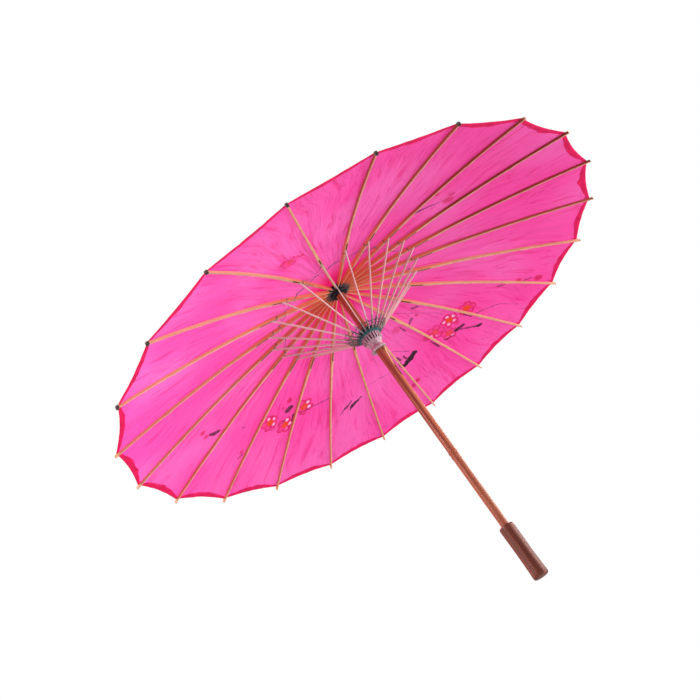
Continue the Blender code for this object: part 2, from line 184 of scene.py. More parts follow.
def wood(name, light, dark, roughness, grain, spots, coat=0.0, ends=None, sides=None, slot=None,
         hollow=None, relief=0.6, specular=0.5):
    """Split bamboo or turned wood.

    grain is the object's own axis that the fibres follow and the noise scales along and across them. ends
    tints from one X to another, as (from, to, share, colour). sides paint light and shade on the flanks: the
    inner colour is pink bounce light, the outer one painted shade on some ribs and painted light on others.
    slot paints shade into the cut at (low X, high X, half width), hollow paints shade into the inside at
    (radius, lowest Z).
    """
    made, tree, shader = new_material(name)
    place = tree.add("ShaderNodeTexCoord").outputs["Object"]
    x, y, z = tree.split(place)
    axis, length, across = grain
    scales = (length, across, across) if axis == "X" else (across, across, length)
    stretched = tree.vector("MULTIPLY", place, scales)
    fibre = tree.noise(stretched, 1.0, 3.0, 0.6, 0.3)
    patch = tree.noise(place, 22.0, 2.0, 0.5)
    fine = tree.noise(stretched, 3.1, 2.0, 0.5)
    colour = tree.mix(tree.range(fibre, 0.32, 0.68), linear(light), linear(dark))
    colour = tree.mix(tree.range(patch, 0.45, 0.75, 0.0, spots), colour, linear(dark))
    if ends is not None:
        start, stop, share, code = ends
        colour = tree.mix(tree.range(x, start, stop, 0.0, share), colour, linear(code))
    if sides is not None:
        # Painted light and shade on the flanks: pink bounce light near the hinge, shade on some ribs and
        # light on others further out.
        facing = tree.split(tree.add("ShaderNodeTexCoord").outputs["Normal"])[1]
        flank_shade = tree.range(tree.math("ABSOLUTE", facing), 0.5, 0.8, 0.0, 0.92)
        tint = tree.mix(tree.range(x, *FLANK_RUN), linear(sides[0]), linear(sides[1]))
        tint = tree.mix(tree.range(fibre, 0.35, 0.7, 0.0, 0.2), tint, linear(dark))
        colour = tree.mix(flank_shade, colour, tint)
    # Painted shade: the slot's inside is darkened.
    if slot is not None:
        low, high, half = slot
        within = tree.times(tree.math("GREATER_THAN", x, low), tree.math("LESS_THAN", x, high))
        within = tree.times(within, tree.math("LESS_THAN", tree.math("ABSOLUTE", y), half))
        colour = tree.mix(tree.times(within, 0.82), colour, linear("2A100C"))
    # Painted shade: the hollow's inside is darkened.
    if hollow is not None:
        radius, lowest = hollow
        away = tree.vector("LENGTH", tree.join(x, y, 0.0), out=1)
        within = tree.times(tree.math("LESS_THAN", away, radius), tree.math("GREATER_THAN", z, lowest))
        colour = tree.mix(tree.times(within, 0.95), colour, linear("120808"))
    tree.fill(shader, {"Base Color": colour, "Normal": tree.bump(fibre, 0.00015, relief),
                       "Roughness": tree.range(fine, 0.3, 0.7, roughness - 0.08, roughness + 0.1),
                       "Specular IOR Level": specular, "Coat Weight": coat, "Coat Roughness": 0.25})
    return made


def thread_material(name, light, dark):
    """Twisted cotton thread."""
    made, tree, shader = new_material(name)
    place = tree.add("ShaderNodeTexCoord").outputs["Object"]
    twist = tree.noise(place, 900.0, 2.0, 0.6)
    colour = tree.mix(tree.range(twist, 0.35, 0.65), linear(dark), linear(light))
    tree.fill(shader, {"Base Color": colour, "Normal": tree.bump(twist, 0.0002, 0.5), "Roughness": 0.85,
                       "Sheen Weight": 0.2})
    return made


# -------- mesh helpers
SHARP = radians(40)          # edges sharper than this stay crisp on turned and cut pieces


def add_object(name, data):
    """An object in the scene."""
    made = bpy.data.objects.new(name, data)
    bpy.context.scene.collection.objects.link(made)
    return made


def new_object(name, vertices, faces, surface):
    """A smooth mesh object in the CAD frame."""
    mesh = bpy.data.meshes.new(name)
    mesh.from_pydata([tuple(v) for v in vertices], [], [tuple(f) for f in faces])
    mesh.materials.append(surface)
    mesh.shade_smooth()
    return add_object(name, mesh)


def attach(made, body, slot_name, *nodes):
    """Rides on a body and stands for CAD nodes, which it hides; slot_name is not used."""
    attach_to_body(made, body)
    if nodes:
        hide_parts(*nodes)


def ring_faces(rings, size):
    """Faces along a run of rings of points, with both ends closed."""
    faces = []
    for k in range(rings - 1):
        for s in range(size):
            n = (s + 1) % size
            faces.append((k * size + s, k * size + n, (k + 1) * size + n, (k + 1) * size + s))
    return faces + [tuple(range(size))[::-1], tuple((rings - 1) * size + s for s in range(size))]


def tube(points, radius, sides=6):
    """Vertices and faces of a thread along points."""
    points = [Vector(p) for p in points]
    normal = Vector((0.31, 0.22, 0.92))
    vertices = []
    for k, point in enumerate(points):
        ahead = points[min(k + 1, len(points) - 1)] - points[max(k - 1, 0)]
        ahead.normalize()
        normal = normal - ahead * normal.dot(ahead)
        if normal.length < 1e-4:
            normal = ahead.orthogonal()
        normal.normalize()
        side = ahead.cross(normal)
        for s in range(sides):
            a = 2 * pi * s / sides
            vertices.append(point + radius * (cos(a) * normal + sin(a) * side))
    return vertices, ring_faces(len(points), sides)


def tubes(name, strands, surface, sides=6):
    """One object of several threads, each (points, radius)."""
    vertices, faces = [], []
    for points, radius in strands:
        v, f = tube(points, radius, sides)
        base = len(vertices)
        vertices += v
        faces += [tuple(base + n for n in face) for face in f]
    return new_object(name, vertices, faces, surface)


def lathe(name, profile, surface, segments=96):
    """A turned piece from (radius, height) points down its outer side."""
    vertices, faces, rings = [], [], []
    for radius, z in profile:
        if radius < 1e-6:
            rings.append([len(vertices)])
            vertices.append((0.0, 0.0, z))
        else:
            rings.append(list(range(len(vertices), len(vertices) + segments)))
            vertices += [(radius * cos(2 * pi * s / segments), radius * sin(2 * pi * s / segments), z)
                         for s in range(segments)]
    pairs = list(zip(rings, rings[1:]))
    if profile[0][0] > 1e-6 and profile[-1][0] > 1e-6:
        pairs.append((rings[-1], rings[0]))
    for upper, lower in pairs:
        for s in range(segments):
            n = (s + 1) % segments
            if len(upper) == 1:
                faces.append((upper[0], lower[s], lower[n]))
            elif len(lower) == 1:
                faces.append((upper[s], lower[0], upper[n]))
            else:
                faces.append((upper[s], lower[s], lower[n], upper[n]))
    made = new_object(name, vertices, faces, surface)
    made.data.set_sharp_from_angle(angle=SHARP)
    return made


def cut_boxes(made, boxes):
    """Takes boxes away: each (low, high, azimuth)."""
    shape = bmesh.new()
    for low, high, turn in boxes:
        low, high = Vector(low), Vector(high)
        place = Matrix.Rotation(turn, 4, "Z") @ Matrix.Translation((low + high) / 2)
        bmesh.ops.create_cube(shape, size=1.0, matrix=place @ Matrix.Diagonal((*(high - low), 1.0)))
    mesh = bpy.data.meshes.new("cutter")
    shape.to_mesh(mesh)
    shape.free()
    cutter = add_object("cutter", mesh)
    step = made.modifiers.new("cut", "BOOLEAN")
    step.operation, step.solver, step.object = "DIFFERENCE", "EXACT", cutter
    bpy.context.view_layer.update()
    result = bpy.data.meshes.new_from_object(made.evaluated_get(bpy.context.evaluated_depsgraph_get()))
    made.modifiers.clear()
    made.data = result
    bpy.data.objects.remove(cutter)
    made.data.shade_smooth()
    made.data.set_sharp_from_angle(angle=SHARP)


def along(table, x):
    """Value at x on the straight lines between a table's points."""
    return float(np.interp(x, [row[0] for row in table], [row[1] for row in table]))


def polar(radius, azimuth, z):
    """The point at a radius, a direction and a height."""
    return Vector((radius * cos(azimuth), radius * sin(azimuth), z))


def dress(node, surface):
    """Gives a CAD node its material."""
    made = frame["nodes"][node]
    made.data.materials.clear()
    made.data.materials.append(surface)
    return made


def soften(node, width, surface):
    """Rounds a CAD node's edges and gives it its material."""
    made = dress(node, surface)
    made.modifiers.new("weld", "WELD").merge_threshold = 1e-5
    bevel = made.modifiers.new("bevel", "BEVEL")
    bevel.width, bevel.segments, bevel.limit_method = width, 2, "ANGLE"


# -------- painted cloth
# The painting. A place is a distance from the shaft in millimetres and a direction in degrees.
BLOSSOMS = (  # place, radius in millimetres, turn, strength, the pale dots' side and how near they keep to it
    ((285, 113), 17, 10, 1.0, 0, 1.2), ((271, 120), 17, 40, 1.0, 0, -1.2),
    ((267, 127), 18, 75, 0.8, 208, 0.5), ((295, 125), 16, 20, 0.85, 127, 0.5),
    ((268, 203), 17, 15, 1.0, 76, -0.2), ((279, 195), 17, 50, 1.0, 76, 0.0),
    ((249, 188), 18, 30, 0.95, 90, 0.2), ((212, 320), 15, 5, 0.75, 0, 1.2),
)
INK = (  # from, to, half width at each end in millimetres, strength
    ((302, 123), (307, 120), 4.0, 3.0, 0.9), ((309, 122), (334, 119), 1.5, 2.0, 0.9),
    ((334, 119), (339, 118), 3.0, 3.5, 0.95), ((288, 116), (306, 116), 1.2, 1.0, 0.8),
    ((306, 116), (322, 112), 1.0, 0.9, 0.7), ((322, 112), (343, 109), 0.9, 0.7, 0.7),
    ((343, 109), (380, 108), 0.8, 0.4, 0.6), ((301, 128), (308, 125), 1.6, 1.2, 0.85),
    ((178, 120), (186, 118), 3.0, 3.0, 0.6), ((203, 130), (197, 126), 2.0, 3.5, 0.6),
    ((154, 127), (246, 118), 0.6, 0.6, 0.5), ((191, 133), (210, 133), 1.4, 1.2, 0.8),
    ((278, 131), (302, 131), 1.2, 2.0, 0.9), ((248, 196), (242, 195), 5.4, 5.2, 0.85),
    ((272, 192), (260, 192), 3.4, 3.2, 0.95), ((261, 189), (256, 185), 1.2, 1.0, 0.7),
    ((256, 185), (252, 176), 0.8, 0.9, 0.75), ((285, 201), (268, 195), 0.7, 0.8, 0.6),
    ((282, 144), (276, 141), 4.0, 6.5, 1.0), ((276, 141), (270, 138), 6.5, 5.0, 1.0),
    ((243, 145), (262, 144), 1.6, 3.0, 0.8), ((257, 142), (268, 142), 1.4, 2.4, 0.8),
    ((265, 145), (280, 145), 2.4, 2.6, 0.85),
    ((230, 144), (258, 139), 0.7, 0.6, 0.7), ((298, 230), (293, 228), 2.5, 5.0, 0.85),
    ((293, 228), (288, 227), 5.0, 3.8, 0.85), ((288, 227), (279, 223), 1.0, 0.7, 0.5),
    ((336, 210), (326, 209), 1.5, 1.0, 0.8), ((325, 208), (314, 208), 0.7, 0.6, 0.4),
    ((274, 216), (274, 215), 1.8, 1.8, 0.5), ((315, 102), (325, 101), 1.8, 1.5, 0.8),
    ((359, 99), (369, 98), 2.4, 1.6, 0.5), ((303, 168), (297, 167), 1.6, 4.2, 0.95),
    ((297, 167), (287, 163), 4.2, 1.2, 0.95), ((306, 172), (296, 170), 0.6, 1.6, 0.8),
    ((296, 170), (285, 167), 2.4, 1.6, 0.8), ((269, 160), (274, 150), 0.5, 0.5, 0.6),
)
PURPLE = (  # in the same order
    ((190, 23), (201, 26), 4.2, 3.2, 0.9), ((201, 26), (228, 31), 2.4, 0.9, 0.75),
)
DABS = (  # soft crimson touches: place, radius in millimetres, strength
    ((199, 123), 5, 0.7), ((190, 135), 12, 0.4), ((226, 197), 8, 0.8), ((241, 199), 5, 0.6),
    ((337, 144), 7, 0.9), ((342, 146), 7, 0.8), ((300, 234), 7, 0.8), ((303, 231), 6, 0.8),
    ((323, 210), 6, 0.7), ((237, 24), 6, 0.8), ((243, 31), 8, 0.6), ((231, 33), 12, 0.7),
    ((382, 98), 10, 0.8), ((347, 99), 7, 0.7), ((262, 131), 10, 0.6), ((258, 203), 9, 0.6),
    ((278, 201), 9, 0.5), ((290, 120), 8, 0.5), ((226, 318), 9, 0.7), ((204, 325), 6, 0.7),
)


def on_cloth(place):
    """The flat point of a distance in millimetres and a direction in degrees."""
    radius, azimuth = place[0] / 1000, radians(place[1])
    return (radius * cos(azimuth), radius * sin(azimuth), 0.0)


def stroke_group():
    """Node group: how far inside a brush stroke a point is."""
    group = bpy.data.node_groups.new("stroke", "ShaderNodeTree")
    for name, kind in (("P", "NodeSocketVector"), ("A", "NodeSocketVector"), ("B", "NodeSocketVector"),
                       ("Wide A", "NodeSocketFloat"), ("Wide B", "NodeSocketFloat")):
        group.interface.new_socket(name, in_out="INPUT", socket_type=kind)
    group.interface.new_socket("Mask", in_out="OUTPUT", socket_type="NodeSocketFloat")
    tree = Tree(group)
    given = tree.add("NodeGroupInput").outputs
    away = tree.vector("SUBTRACT", given["P"], given["A"])
    run = tree.vector("SUBTRACT", given["B"], given["A"])
    share = tree.math("DIVIDE", tree.vector("DOT_PRODUCT", away, run, out=1),
                      tree.vector("DOT_PRODUCT", run, run, out=1), clamp=True)
    scaled = tree.add("ShaderNodeVectorMath", {0: run, "Scale": share}, operation="SCALE").outputs[0]
    gap = tree.vector("LENGTH", tree.vector("SUBTRACT", away, scaled), out=1)
    widening = tree.math("SUBTRACT", given["Wide B"], given["Wide A"])
    half = tree.math("ADD", given["Wide A"], tree.times(share, widening))
    inside = tree.math("SUBTRACT", half, gap)
    tree.add("NodeGroupOutput", {0: tree.range(inside, -0.0003, 0.0005)})
    return group


def blossom_group():
    """Node group: petals, their rim, pale dots and heart of a five-petalled blossom."""
    group = bpy.data.node_groups.new("blossom", "ShaderNodeTree")
    for name, kind in (("P", "NodeSocketVector"), ("Centre", "NodeSocketVector"),
                       ("Radius", "NodeSocketFloat"), ("Turn", "NodeSocketFloat"),
                       ("Side", "NodeSocketVector"), ("Keep", "NodeSocketFloat")):
        group.interface.new_socket(name, in_out="INPUT", socket_type=kind)
    for name in ("Petal", "Rim", "Dot", "Heart"):
        group.interface.new_socket(name, in_out="OUTPUT", socket_type="NodeSocketFloat")
    tree = Tree(group)
    given = tree.add("NodeGroupInput").outputs
    from_centre = tree.vector("SUBTRACT", given["P"], given["Centre"])
    gap = tree.math("DIVIDE", tree.vector("LENGTH", from_centre, out=1), given["Radius"])
    axes = tree.split(from_centre)
    angle = tree.math("ADD", tree.math("ARCTAN2", axes[1], axes[0]), given["Turn"])
    folded = tree.math("PINGPONG", tree.math("ADD", angle, 10 * pi), pi / 5)
    x = tree.math("SUBTRACT", tree.times(gap, tree.math("COSINE", folded)), 0.60)
    y = tree.times(gap, tree.math("SINE", folded))
    petal = tree.math("SQRT", tree.math("ADD", tree.times(x, x), tree.times(y, y)))
    aside = tree.vector("DOT_PRODUCT", tree.vector("NORMALIZE", from_centre), given["Side"], out=1)
    kept = tree.math("GREATER_THAN", aside, given["Keep"])
    tree.add("NodeGroupOutput", {
        0: tree.range(petal, 0.44, 0.34),
        1: tree.times(tree.range(petal, 0.47, 0.40), tree.range(petal, 0.24, 0.36)),
        2: tree.times(tree.range(petal, 0.21, 0.12), kept), 3: tree.range(gap, 0.48, 0.34)})
    return group


STROKE, BLOSSOM = stroke_group(), blossom_group()
# Each output's colour and strength: petal, rim, dot, heart. The dots' strength is uneven instead.
BLOSSOM_COLOURS = (("F0287C", 0.6), ("DC0A54", 0.85), ("FFD0F6", None), ("EE4414", 0.95))


def largest(tree, values):
    """The largest of several values."""
    result = values[0]
    for value in values[1:]:
        result = tree.math("MAXIMUM", result, value)
    return result


def touches(marks, low, high, margin):
    """Marks that reach into a sector of directions, in degrees."""
    kept = []
    for mark in marks:
        ends = [mark[0][1]] + ([mark[1][1]] if isinstance(mark[1], tuple) else [])
        if any((end - low + margin) % 360 < high - low + 2 * margin for end in ends):
            kept.append(mark)
    return kept


def paint(tree, colour, place, low, high):
    """The painting over a cloth colour, in one gore's sector."""
    spot = tree.warp(place, place, 300.0, 2.0, 0.006)
    dry = tree.range(tree.noise(place, 700.0, 2.0, 0.6), 0.28, 0.50, 0.72, 1.0)
    dabs = touches(DABS, low, high, 3)
    if dabs:
        masks = [tree.times(tree.range(tree.vector("DISTANCE", spot, on_cloth(at), out=1),
                                       size / 1000, size / 2500), strength)
                 for at, size, strength in dabs]
        colour = tree.mix(tree.times(largest(tree, masks), dry), colour, linear("D80A4C"))
    blossoms = touches(BLOSSOMS, low, high, 5)
    if blossoms:
        outs = []
        for at, size, turn, strength, side, keep in blossoms:
            made = tree.add("ShaderNodeGroup", node_tree=BLOSSOM)
            tree.fill(made, {"P": spot, "Centre": on_cloth(at), "Radius": size / 1000, "Turn": radians(turn),
                             "Side": (cos(radians(side)), sin(radians(side)), 0.0), "Keep": keep})
            full = max(0.0, 2 * strength - 1)
            outs.append([tree.times(made.outputs[k], share)
                         for k, share in enumerate((strength, strength, full, full))])
        patchy = tree.range(tree.noise(place, 75.0, 1.0), 0.40, 0.56, 0.5, 1.0)
        for k, (code, share) in enumerate(BLOSSOM_COLOURS):
            strongest = largest(tree, [one[k] for one in outs])
            mask = tree.times(strongest, patchy if share is None else share)
            colour = tree.mix(mask, colour, linear(code))
    for marks, code in ((PURPLE, "6A0C66"), (INK, "16141A")):
        masks = []
        for start, end, wide, narrow, strength in touches(marks, low, high, 3):
            made = tree.add("ShaderNodeGroup", node_tree=STROKE)
            tree.fill(made, {"P": spot, "A": on_cloth(start), "B": on_cloth(end),
                             "Wide A": wide / 1000, "Wide B": narrow / 1000})
            masks.append(tree.times(made.outputs[0], strength))
        if masks:
            colour = tree.mix(tree.times(largest(tree, masks), dry), colour, linear(code))
    return colour


def cloth_material(name, low, high):
    """Thin crinkled cloth that light comes through, with the painting that falls in its sector."""
    made, tree, shader = new_material(name)
    flat = tree.add("ShaderNodeUVMap", uv_map="flat").outputs[0]
    place = tree.vector("SUBTRACT", flat, (0.5, 0.5, 0.0))
    share, depth, _ = tree.split(tree.add("ShaderNodeUVMap", uv_map="edge").outputs[0])
    radius = tree.vector("LENGTH", place, out=1)
    way = tree.vector("NORMALIZE", place)
    axes = tree.split(way)
    polar_place = tree.join(axes[0], axes[1], radius)
    bent = tree.warp(polar_place, place, 7.0, 1.0, 0.16)
    creases = tree.noise(tree.vector("MULTIPLY", bent, (34.0, 34.0, 9.0)), 1.0, 4.0, 0.62, 0.2)
    hairs = []
    for across, outward, wide in ((44.0, 4.5, 0.020), (105.0, 8.0, 0.030)):
        run = tree.noise(tree.vector("MULTIPLY", bent, (across, across, outward)), 1.0, 1.5, 0.5, 0.2)
        hairs.append(tree.range(tree.math("ABSOLUTE", tree.math("SUBTRACT", run, 0.5)), wide, 0.002))
    drift = tree.noise(place, 6.0, 1.0)
    threads = [tree.add("ShaderNodeTexWave", {"Vector": place, "Scale": 420.0, "Distortion": 0.6},
                        bands_direction=way_name).outputs["Fac"] for way_name in ("X", "Y")]
    weave = tree.math("ADD", threads[0], threads[1])

    colour = tree.mix(tree.range(drift, 0.35, 0.65), linear("FF4AAA"), linear("FF64BA"))
    colour = tree.mix(tree.range(creases, 0.50, 0.72, 0.0, 0.6), colour, linear("F0127C"))
    patchy = tree.range(tree.noise(place, 16.0, 2.0), 0.38, 0.62, 0.15, 1.0)
    fold = tree.math("MAXIMUM", hairs[0], tree.times(hairs[1], 0.55))
    fold = tree.times(fold, patchy)
    colour = tree.mix(tree.times(fold, 0.42), colour, linear("D00A68"))
    colour = tree.mix(tree.range(radius, 0.095, 0.035, 0.0, 0.92), colour, linear("FF0870"))
    arch = tree.times(share, tree.math("MULTIPLY_ADD", share, -4.0, 4.0))
    hem_edge = tree.math("MULTIPLY_ADD", arch, tree.math(
        "MULTIPLY_ADD", tree.noise(place, 45.0, 2.0), 0.10, 0.030), 0.022)
    hem = tree.math("LESS_THAN", depth, hem_edge)
    colour = tree.mix(tree.times(hem, 0.75), colour, linear("E00C58"))
    colour = paint(tree, colour, place, low, high)

    height = tree.math("MULTIPLY_ADD", creases, 1.1, tree.times(fold, 0.10))
    normal = tree.bump(height, 0.0035, 0.55)
    normal = tree.bump(weave, 0.00006, 0.4, normal)
    tree.fill(shader, {"Base Color": colour, "Normal": normal, "Roughness": 0.60, "Sheen Weight": 0.10,
                       "Specular IOR Level": 0.3})
    tree.let_through(shader, 0.55, {"Color": colour, "Normal": normal})
    return made


def hem_material():
    """The folded edge, twice the cloth and so deeper in colour, with a line of stitches."""
    made, tree, shader = new_material("hem_cloth")
    share, depth, _ = tree.split(tree.add("ShaderNodeUVMap", uv_map="edge").outputs[0])
    flat = tree.add("ShaderNodeUVMap", uv_map="flat").outputs[0]
    mottle = tree.noise(flat, 60.0, 3.0)
    colour = tree.mix(tree.range(mottle, 0.35, 0.7), linear("FA0874"), linear("E60466"))
    line = tree.range(tree.math("ABSOLUTE", tree.math("SUBTRACT", depth, 0.062)), 0.006, 0.002)
    dash = tree.math("GREATER_THAN", tree.math("SINE", tree.times(share, 160.0)), -0.2)
    colour = tree.mix(tree.times(tree.times(line, dash), 0.5), colour, linear("8C0030"))
    tree.fill(shader, {"Base Color": colour, "Normal": tree.bump(mottle, 0.0006, 0.5), "Roughness": 0.75})
    tree.let_through(shader, 0.35, {"Color": colour})
    return made


# -------- cloth
GORE_COLUMNS = 20            # from one rib to the next
GORE_ROWS = 46
CRINKLE = 0.0011             # height of the cloth's creases
EDGE_SCALE = 10              # the edge map holds the distance from the rim in tenths of a metre
HEM_STEPS = ((-0.0002, 0.0001), (0.0006, -0.0004), (0.0030, -0.0006), (None, -0.0005))   # inward, up
HEM = hem_material()


def cloth_spot(gap, share, radius):
    """A point of the crinkled cloth between rib number gap and the next one."""
    here, after = RIBS[gap % COUNT], RIBS[(gap + 1) % COUNT]
    bow = 1 - abs(2 * share - 1) ** 1.8
    pulled = radius * (1 - SCALLOPS[gap % COUNT] * bow * (radius / CLOTH_OUT) ** 3)
    first = polar(pulled, here["azimuth"], cloth_z(pulled))
    second = polar(pulled, after["azimuth"], cloth_z(pulled))
    point = first.lerp(second, share)
    way = Vector((point.x, point.y)).normalized()
    broad = noise.noise(Vector((way.x * 26, way.y * 26, radius * 9)))
    fine = noise.noise(Vector((way.x * 70 + radius * 25, way.y * 70, radius * 14)))
    point.z += (0.5 + 0.7 * broad + 0.3 * fine) * CRINKLE * bow ** 0.7 * min(1.0, radius / 0.10)
    return point


def gore_columns(index):
    """(gap, share) of each column from halfway before a rib to halfway after it."""
    half = GORE_COLUMNS // 2
    before = [(index - 1, k / GORE_COLUMNS) for k in range(half, GORE_COLUMNS)]
    return before + [(index, k / GORE_COLUMNS) for k in range(0, half + 1)]


def grid_faces(rows, columns):
    """Faces of a grid with its outside up."""
    return [(r * columns + c, (r + 1) * columns + c, (r + 1) * columns + c + 1, r * columns + c + 1)
            for r in range(rows - 1) for c in range(columns - 1)]


def add_maps(made, flat, edge):
    """UV maps: the flat point and the place from the hem, per vertex."""
    for name, values in (("flat", flat), ("edge", edge)):
        layer = made.data.uv_layers.new(name=name)
        for loop in made.data.loops:
            layer.data[loop.index].uv = values[loop.vertex_index]


def hem_width(gap, share):
    """How far the hem reaches in: least at the ribs, most in the middle of a gap, and uneven."""
    turn = RIBS[gap % COUNT]["azimuth"] + share * 0.3
    uneven = noise.noise(Vector((cos(turn) * 22, sin(turn) * 22, 3.0)))
    return 0.0042 + (1 - abs(2 * share - 1) ** 1.6) * (0.0058 + 0.0050 * uneven)


def make_hem(rib, columns):
    """The folded edge under a gore's rim."""
    vertices, flat, edge = [], [], []
    for inset, lift in HEM_STEPS:
        for gap, share in columns:
            depth = hem_width(gap, share) if inset is None else inset
            point = cloth_spot(gap, share, CLOTH_OUT - depth)
            vertices.append(point + UP * lift)
            flat.append((point.x + 0.5, point.y + 0.5))
            edge.append((share, depth * EDGE_SCALE))
    name = f"canopy_hem_{rib['number']}"
    hem = new_object(name, vertices, grid_faces(len(HEM_STEPS), len(columns)), HEM)
    add_maps(hem, flat, edge)
    return hem


def make_gore(index):
    """The cloth over one rib, half of the gap on each side, and its hem."""
    rib = RIBS[index]
    number = rib["number"]
    columns = gore_columns(index)
    shares = [(k / (GORE_ROWS - 1)) ** 0.9 for k in range(GORE_ROWS)]
    radii = [CLOTH_IN + (CLOTH_OUT - CLOTH_IN) * share for share in shares]
    grid = [[cloth_spot(gap, share, radius) for gap, share in columns] for radius in radii]
    vertices = [point for row in grid for point in row]
    flat = [(v.x + 0.5, v.y + 0.5) for v in vertices]
    edge = [(share, (CLOTH_OUT - radius) * EDGE_SCALE) for radius in radii for gap, share in columns]
    before = degrees(RIBS[index - 1]["azimuth"] - (0 if index else 2 * pi))
    after = degrees(RIBS[(index + 1) % COUNT]["azimuth"] + (0 if index + 1 < COUNT else 2 * pi))
    middle = degrees(rib["azimuth"])
    surface = cloth_material(f"pink_cloth_{number}", (before + middle) / 2 - 0.5, (after + middle) / 2 + 0.5)
    gore = new_object(f"canopy_gore_{number}", vertices, grid_faces(GORE_ROWS, len(columns)), surface)
    add_maps(gore, flat, edge)
    hem = make_hem(rib, columns)
    body, joint = f"rib_{number}", f"rib_{number}_pivot"
    for piece in (gore, hem):
        attach(piece, body, "pink_cloth", "canopy")
        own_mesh(piece)


# -------- wood pieces
RIB_SLOT = (0.1285, 0.1580, 0.00095)          # inner and outer radius and half width
# The slot's inside, where shade is painted, from the hinge
SHADED = (RIB_SLOT[0] - PIVOT_R - 0.0002, RIB_SLOT[1] - PIVOT_R + 0.0002, RIB_SLOT[2] + 0.0001)
# The ribs' bamboo, light and dark
BASES = (("E2AC82", "BC7850"), ("DAA278", "B46E46"), ("E8B892", "C6865A"))
# Painted shade and light on the outer flanks, set by where each rib stands round the canopy: dark where they
# are in shade, light where they are lit.
FLANK_SHADES = {"maroon": "861A1A", "rust": "983630", "brown": "A85040", "tan": "DCA680", "orange": "DC8664"}
RIB_FLANK_SHADES = (["brown", "rust", "maroon", "rust", "brown"] + ["tan"] * 5 + ["orange"] * 5
              + ["tan"] * 5 + ["orange", "brown"])       # outer part of each rib's sides, in order
BAMBOOS = {}


def bamboo(index):
    """A rib's bamboo, shared by the ribs that look alike."""
    key = (index % 3, RIB_FLANK_SHADES[index])
    if key not in BAMBOOS:
        light, dark = BASES[key[0]]
        BAMBOOS[key] = wood(f"rib_bamboo_{key[1]}_{key[0]}", light, dark, 0.5, ("X", 9.0, 420.0), 0.3,
                            ends=(0.12, 0.17, 0.4, "E8B890"), sides=("E88662", FLANK_SHADES[key[1]]), slot=SHADED)
    return BAMBOOS[key]


SLATS = [wood(f"stretcher_bamboo_{k}", light, dark, 0.5, ("X", 9.0, 420.0), 0.2)
         for k, (light, dark) in enumerate((("F0D8D4", "CCA29A"), ("F4DEDC", "D2AAA4")))]
# The hollows here are painted shade: the catch's slot in the shaft and the runner's slots.
SHAFT_WOOD = wood("shaft_bamboo", "C87650", "924830", 0.46, ("Z", 5.0, 330.0), 0.4, coat=0.1,
                  hollow=(0.0058, 0.3550), relief=0.2, specular=0.4)
GRIP_WOOD = wood("handle_wood", "8A4430", "5E2618", 0.46, ("Z", 6.0, 240.0), 0.35, coat=0.12,
                 relief=0.2, specular=0.4)
TURNED = wood("turned_wood", "D0B8C2", "A88692", 0.5, ("Z", 8.0, 260.0), 0.25, coat=0.1,
              hollow=(0.0150, 0.4321))
CAP_DARK = wood("cap_wood", "5A2418", "32100A", 0.32, ("Z", 8.0, 220.0), 0.3, coat=0.5)
NOTCH_WOOD = wood("notch_wood", "2C2A34", "121218", 0.5, ("Z", 8.0, 220.0), 0.3)
TONGUE = wood("catch_bamboo", "F0C490", "D09860", 0.45, ("Z", 6.0, 380.0), 0.2)
TEAL = thread_material("teal_thread", "0A9096", "02343C")
BLACK = thread_material("black_thread", "6A7890", "141822")
GREY = thread_material("dark_thread", "5E4640", "241618")
DARK_TEAL = thread_material("lacing_thread", "2E5C68", "101C26")

RIB_EYE = 0.0026             # radius of a rib's rounded inner end
RIB_STEPS = ((PIVOT_R, 0.12, 18), (0.12, 0.20, 21), (0.20, RIB_TIP, 36))   # from, to, number of sections
LEAN_FROM = 0.17             # a rib is straight up to here and leans a little beyond
# The dark thread on these tips also stands in for the shade on these ribs' ends.
KNOTTED = (17, 18, 19, 20, 21, 0)   # ribs whose tips are tied with dark thread
# A rib's depth and its width, each at the radius before it
RIB_DEPTH = ((0.0105, 0.0052), (0.030, 0.0065), (0.070, 0.0070), (0.125, 0.0056),
             (0.160, 0.0053), (0.200, 0.0045), (0.420, 0.0041))
RIB_WIDTH = ((0.018, 0.0013), (0.030, 0.0015), (0.050, 0.0021), (0.070, 0.0029), (0.100, 0.0038),
             (0.125, 0.0046), (0.160, 0.0046), (0.200, 0.0036), (0.300, 0.0029), (0.420, 0.0027))


def slat_section(half, top, low, corner):
    """A rectangle with its corners taken off, as (y, z)."""
    c = corner
    return [(-half + c, top), (half - c, top), (half, top - c), (half, low + c),
            (half - c, low), (-half + c, low), (-half, low + c), (-half, top - c)]


def loft(name, sections, surface):
    """A closed piece through sections of eight (x, y, z) points."""
    vertices = [point for section in sections for point in section]
    made = new_object(name, vertices, ring_faces(len(sections), len(sections[0])), surface)
    made.data.set_sharp_from_angle(angle=radians(30))
    return made


